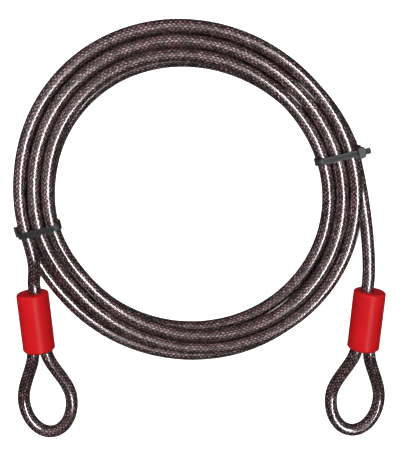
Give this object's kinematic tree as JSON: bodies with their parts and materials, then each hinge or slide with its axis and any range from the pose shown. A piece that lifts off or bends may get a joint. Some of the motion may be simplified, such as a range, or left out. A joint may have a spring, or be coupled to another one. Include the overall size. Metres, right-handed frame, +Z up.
{
  "type": "cable lock",
  "caption": "Coiled security cable of braided wire rope in a clear jacket, with a padlock eye at each end, moulded covers over the crimps and cable ties round the coil.",
  "frame": {"origin": "centre of the coil, on the surface that the coil lies on", "axes": "+Z up out of the surface; the two eyes point to -Y, and left and right are -X and +X"},
  "size_m": [0.2996, 0.338, 0.0278],
  "materials": {
    "clear_jacket": "clear soft PVC, glossy, a little smoky",
    "wire_rope": "braided galvanised steel wires",
    "ferrule": "pressed, matt",
    "cover": "semi-gloss red moulding",
    "tie": "black nylon"
  },
  "bodies": {
    "cable": {"coil_jacket": "clear_jacket", "coil_wire_rope": "wire_rope", "left_tail_jacket": "clear_jacket", "left_tail_wire_rope": "wire_rope", "right_tail_jacket": "clear_jacket", "right_tail_wire_rope": "wire_rope", "left_eye_jacket": "clear_jacket", "left_eye_wire_rope": "wire_rope", "right_eye_jacket": "clear_jacket", "right_eye_wire_rope": "wire_rope", "left_crimp_ferrule": "ferrule", "right_crimp_ferrule": "ferrule", "left_cable_tie": "tie", "right_cable_tie": "tie"},
    "left_cover": {"left_ferrule_cover": "cover"},
    "right_cover": {"right_ferrule_cover": "cover"}
  },
  "joints": [
    {"name": "left_cover_slide", "type": "slide", "parent": "cable", "child": "left_cover", "axis": [-0.0785, 0.9969, 0], "range_m": [0, 0.005]},
    {"name": "right_cover_slide", "type": "slide", "parent": "cable", "child": "right_cover", "axis": [0.0785, 0.9969, 0], "range_m": [0, 0.005]}
  ]
}
